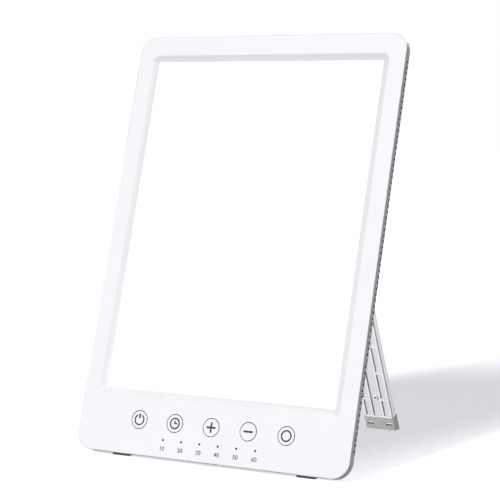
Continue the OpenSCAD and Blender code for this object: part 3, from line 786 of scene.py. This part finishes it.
def floor_glow(tree):
    """The floor's glow, which grows from its least to its full value along each of the fades, as painted light
    that fades out the object's shadow.
    """
    place = tree.nodes.new("ShaderNodeTexCoord")
    fades = []
    for direction, start, end in FADES:
        along = tree.nodes.new("ShaderNodeVectorMath")
        along.operation = "DOT_PRODUCT"
        along.inputs[1].default_value = (*direction, 0)
        tree.links.new(place.outputs["Object"], along.inputs[0])
        fade = tree.nodes.new("ShaderNodeMapRange")
        fade.interpolation_type = "SMOOTHSTEP"
        fade.inputs["From Min"].default_value = start
        fade.inputs["From Max"].default_value = end
        fade.inputs["To Min"].default_value = FLOOR_GLOW
        fade.inputs["To Max"].default_value = FLOOR_FULL_GLOW
        tree.links.new(along.outputs["Value"], fade.inputs["Value"])
        fades.append(fade.outputs["Result"])
    return largest(tree, fades)


def floor_material():
    """White where nothing shades it; the light that it bounces is a plain grey floor's."""
    material = bpy.data.materials.new("white_floor")
    material.use_nodes = True
    tree = material.node_tree
    tree.nodes.clear()
    pale = tree.nodes.new("ShaderNodeBsdfDiffuse")
    pale.inputs["Color"].default_value = (FLOOR_COLOUR, FLOOR_COLOUR, FLOOR_COLOUR, 1)
    glow = tree.nodes.new("ShaderNodeEmission")
    glow.inputs["Color"].default_value = (*GLOW_TINT, 1)
    tree.links.new(floor_glow(tree), glow.inputs["Strength"])
    both = tree.nodes.new("ShaderNodeAddShader")
    bounce = tree.nodes.new("ShaderNodeBsdfDiffuse")
    bounce.inputs["Color"].default_value = (FLOOR_BOUNCE, FLOOR_BOUNCE, FLOOR_BOUNCE, 1)
    mix = tree.nodes.new("ShaderNodeMixShader")
    out = tree.nodes.new("ShaderNodeOutputMaterial")
    tree.links.new(pale.outputs[0], both.inputs[0])
    tree.links.new(glow.outputs[0], both.inputs[1])
    tree.links.new(seen_directly(tree), mix.inputs[0])
    tree.links.new(bounce.outputs[0], mix.inputs[1])
    tree.links.new(both.outputs[0], mix.inputs[2])
    tree.links.new(mix.outputs[0], out.inputs["Surface"])
    return material


def make_floor():
    build = bmesh.new()
    bmesh.ops.create_grid(build, x_segments=FLOOR_CELLS, y_segments=FLOOR_CELLS, size=FLOOR_HALF)
    mesh = bpy.data.meshes.new("floor")
    build.to_mesh(mesh)
    build.free()
    floor = bpy.data.objects.new("floor", mesh)
    bpy.context.scene.collection.objects.link(floor)
    dress(floor, floor_material())
    return floor


def sun(name, turn, height, width, level):
    """A distant lamp. It comes from turn degrees right of the front and height degrees up."""
    lamp = bpy.data.lights.new(name, "SUN")
    lamp.energy = level * math.pi
    lamp.angle = math.radians(width)
    holder = bpy.data.objects.new(name, lamp)
    holder.rotation_euler = (math.radians(90 - height), 0, math.radians(turn))
    bpy.context.scene.collection.objects.link(holder)
    return holder


def linked(name, objects, state):
    """A collection for light linking, in which every object is included or excluded."""
    group = bpy.data.collections.new(name)
    for i, piece in enumerate(objects):
        group.objects.link(piece)
        group.collection_objects[i].light_linking.link_state = state
    return group


def make_light(floor, legs):
    """Studio light. The legs stand in the panel's shade, so two lamps light them alone."""
    floor_only = linked("floor_only", [floor], "INCLUDE")
    sun("floor_sun", **FLOOR_SUN).light_linking.receiver_collection = floor_only
    all_but_floor = linked("all_but_floor", [floor], "EXCLUDE")
    sun("object_sun", **OBJECT_SUN).light_linking.receiver_collection = all_but_floor
    sun("front_fill", **FRONT_FILL).light_linking.receiver_collection = all_but_floor
    for name, settings in (("leg_fill", LEG_FILL), ("leg_back", LEG_BACK)):
        lamp = sun(name, **settings)
        lamp.light_linking.receiver_collection = linked(name + "_targets", legs, "INCLUDE")
        lamp.light_linking.blocker_collection = linked(name + "_blockers", legs, "INCLUDE")
        lamp.data.cycles.max_bounces = 0
    panel_alone = linked("all_but_floor_and_legs", [floor, *legs], "EXCLUDE")
    sun("back_fill", **BACK_FILL).light_linking.receiver_collection = panel_alone


def make_camera():
    lens = bpy.data.cameras.new("camera")
    lens.lens = CAMERA_LENS
    lens.sensor_width = SENSOR
    holder = bpy.data.objects.new("camera", lens)
    holder.location = CAMERA_AT
    holder.rotation_euler = (math.radians(90 - CAMERA_DOWN), 0, math.radians(CAMERA_TURN))
    bpy.context.scene.collection.objects.link(holder)
    bpy.context.scene.camera = holder


# ---------------------------------------------------------------- the scene

bpy.context.scene.view_settings.view_transform = "Standard"
make_camera()
make_world()
for node, piece in frame["nodes"].items():
    dress(piece, FINISHES[SLOT_OF[node]])
front_shell()
back_shell()
for key in SIGNS:
    button_cap(key)
make_light(make_floor(), leg_pieces())
print_signs()
print_numerals()
